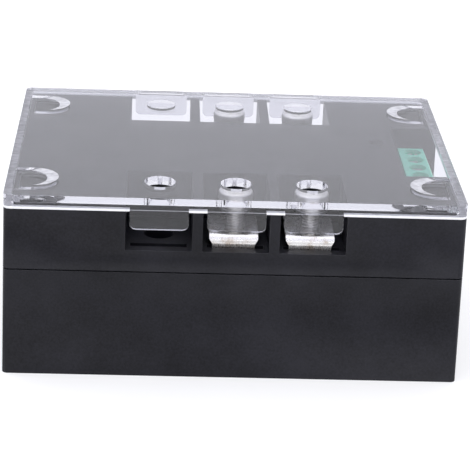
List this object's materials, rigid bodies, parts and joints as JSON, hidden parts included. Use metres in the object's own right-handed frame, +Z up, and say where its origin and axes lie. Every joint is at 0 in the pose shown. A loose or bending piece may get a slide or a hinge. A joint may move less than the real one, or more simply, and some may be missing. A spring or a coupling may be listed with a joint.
{
  "type": "solid state relay",
  "caption": "Boxed industrial solid state relay: black two-part case, clear lift-off cover with slot tabs, plated screw terminals front and back, green control connector in a side bay.",
  "frame": {"origin": "centre of the footprint, on the face that rests on the heat sink", "axes": "+X along the long side towards the control connector, -Y the front row of terminals, +Z up through the cover"},
  "size_m": [0.101, 0.0746, 0.0421],
  "materials": {
    "black_housing": "moulded, fine matt grain",
    "clear_polycarbonate": "polished clear",
    "tin_plate": "bright tin plate",
    "zinc_plate": "bright zinc plate",
    "spreader_aluminium": "machined, satin",
    "bare_copper": "dull copper",
    "white_ceramic": "matt alumina",
    "silicon": "polished silicon",
    "gold_plate": "gold plate",
    "board_laminate": "green solder mask",
    "white_plastic": "moulded",
    "resistor_coat": "lacquered",
    "capacitor_coat": "dipped",
    "varistor_coat": "dipped",
    "black_epoxy": "moulded epoxy",
    "led_lens": "tinted epoxy",
    "connector_green": "moulded"
  },
  "bodies": {
    "housing": {"base_plate": "spreader_aluminium", "lower_case": "black_housing", "upper_case": "black_housing", "terminal_strip_front_mid": "tin_plate", "terminal_strip_front_right": "tin_plate", "terminal_strip_back_mid": "tin_plate", "terminal_strip_back_right": "tin_plate", "terminal_nuts": "zinc_plate", "ceramic_substrates": "white_ceramic", "copper_pads": "bare_copper", "cathode_clips": "bare_copper", "thyristor_chips": "silicon", "gate_pins": "gold_plate", "control_board": "board_laminate", "board_screws": "zinc_plate", "case_screws": "zinc_plate", "optocouplers": "white_plastic", "optocoupler_leads": "tin_plate", "snubber_resistors": "resistor_coat", "snubber_capacitors": "capacitor_coat", "varistors": "varistor_coat", "input_regulator": "black_epoxy", "status_led": "led_lens", "status_led_leads": "tin_plate", "control_block": "connector_green", "control_contacts": "tin_plate"},
    "cover": {"clear_cover": "clear_polycarbonate"},
    "washer_front_mid": {"spring_washer_front_mid": "zinc_plate"},
    "screw_front_mid": {"terminal_screw_front_mid": "tin_plate"},
    "washer_front_right": {"spring_washer_front_right": "zinc_plate"},
    "screw_front_right": {"terminal_screw_front_right": "tin_plate"},
    "washer_back_mid": {"spring_washer_back_mid": "zinc_plate"},
    "screw_back_mid": {"terminal_screw_back_mid": "tin_plate"},
    "washer_back_right": {"spring_washer_back_right": "zinc_plate"},
    "screw_back_right": {"terminal_screw_back_right": "tin_plate"},
    "clamp_screw_1": {"clamp_screw_1": "zinc_plate"},
    "clamp_cage_1": {"clamp_cage_1": "tin_plate"},
    "clamp_screw_2": {"clamp_screw_2": "zinc_plate"},
    "clamp_cage_2": {"clamp_cage_2": "tin_plate"},
    "clamp_screw_3": {"clamp_screw_3": "zinc_plate"},
    "clamp_cage_3": {"clamp_cage_3": "tin_plate"},
    "clamp_screw_4": {"clamp_screw_4": "zinc_plate"},
    "clamp_cage_4": {"clamp_cage_4": "tin_plate"}
  },
  "joints": [
    {"name": "cover_lift", "type": "slide", "parent": "housing", "child": "cover", "axis": [0, 0, 1], "range_m": [0, 0.03]},
    {"name": "screw_travel_front_mid", "type": "slide", "parent": "housing", "child": "washer_front_mid", "axis": [0, 0, 1], "range_m": [-0.0037, 0.0003]},
    {"name": "screw_turn_front_mid", "type": "hinge", "parent": "washer_front_mid", "child": "screw_front_mid", "pos_m": [0.00015, -0.0265, 0.0373], "axis": [0, 0, 1], "range_deg": [-1915, 160]},
    {"name": "screw_travel_front_right", "type": "slide", "parent": "housing", "child": "washer_front_right", "axis": [0, 0, 1], "range_m": [-0.0037, 0.0003]},
    {"name": "screw_turn_front_right", "type": "hinge", "parent": "washer_front_right", "child": "screw_front_right", "pos_m": [0.01685, -0.0265, 0.0373], "axis": [0, 0, 1], "range_deg": [-1915, 160]},
    {"name": "screw_travel_back_mid", "type": "slide", "parent": "housing", "child": "washer_back_mid", "axis": [0, 0, 1], "range_m": [-0.0037, 0.0003]},
    {"name": "screw_turn_back_mid", "type": "hinge", "parent": "washer_back_mid", "child": "screw_back_mid", "pos_m": [0.00015, 0.0265, 0.0373], "axis": [0, 0, 1], "range_deg": [-1915, 160]},
    {"name": "screw_travel_back_right", "type": "slide", "parent": "housing", "child": "washer_back_right", "axis": [0, 0, 1], "range_m": [-0.0037, 0.0003]},
    {"name": "screw_turn_back_right", "type": "hinge", "parent": "washer_back_right", "child": "screw_back_right", "pos_m": [0.01685, 0.0265, 0.0373], "axis": [0, 0, 1], "range_deg": [-1915, 160]},
    {"name": "clamp_turn_1", "type": "hinge", "parent": "housing", "child": "clamp_screw_1", "pos_m": [0.0433, -0.00762, 0.0343], "axis": [0, 0, 1], "range_deg": [-1158, 0]},
    {"name": "cage_rise_1", "type": "slide", "parent": "housing", "child": "clamp_cage_1", "axis": [0, 0, 1], "range_m": [0, 0.0016]},
    {"name": "clamp_turn_2", "type": "hinge", "parent": "housing", "child": "clamp_screw_2", "pos_m": [0.0433, -0.00254, 0.0343], "axis": [0, 0, 1], "range_deg": [-1158, 0]},
    {"name": "cage_rise_2", "type": "slide", "parent": "housing", "child": "clamp_cage_2", "axis": [0, 0, 1], "range_m": [0, 0.0016]},
    {"name": "clamp_turn_3", "type": "hinge", "parent": "housing", "child": "clamp_screw_3", "pos_m": [0.0433, 0.00254, 0.0343], "axis": [0, 0, 1], "range_deg": [-1158, 0]},
    {"name": "cage_rise_3", "type": "slide", "parent": "housing", "child": "clamp_cage_3", "axis": [0, 0, 1], "range_m": [0, 0.0016]},
    {"name": "clamp_turn_4", "type": "hinge", "parent": "housing", "child": "clamp_screw_4", "pos_m": [0.0433, 0.00762, 0.0343], "axis": [0, 0, 1], "range_deg": [-1158, 0]},
    {"name": "cage_rise_4", "type": "slide", "parent": "housing", "child": "clamp_cage_4", "axis": [0, 0, 1], "range_m": [0, 0.0016]}
  ],
  "couplings": [
    {"joint": "screw_turn_front_mid", "follows": "screw_travel_front_mid", "rad_per_m": 8976},
    {"joint": "screw_turn_front_right", "follows": "screw_travel_front_right", "rad_per_m": 8976},
    {"joint": "screw_turn_back_mid", "follows": "screw_travel_back_mid", "rad_per_m": 8976},
    {"joint": "screw_turn_back_right", "follows": "screw_travel_back_right", "rad_per_m": 8976},
    {"joint": "clamp_turn_1", "follows": "cage_rise_1", "rad_per_m": -12566},
    {"joint": "clamp_turn_2", "follows": "cage_rise_2", "rad_per_m": -12566},
    {"joint": "clamp_turn_3", "follows": "cage_rise_3", "rad_per_m": -12566},
    {"joint": "clamp_turn_4", "follows": "cage_rise_4", "rad_per_m": -12566}
  ]
}
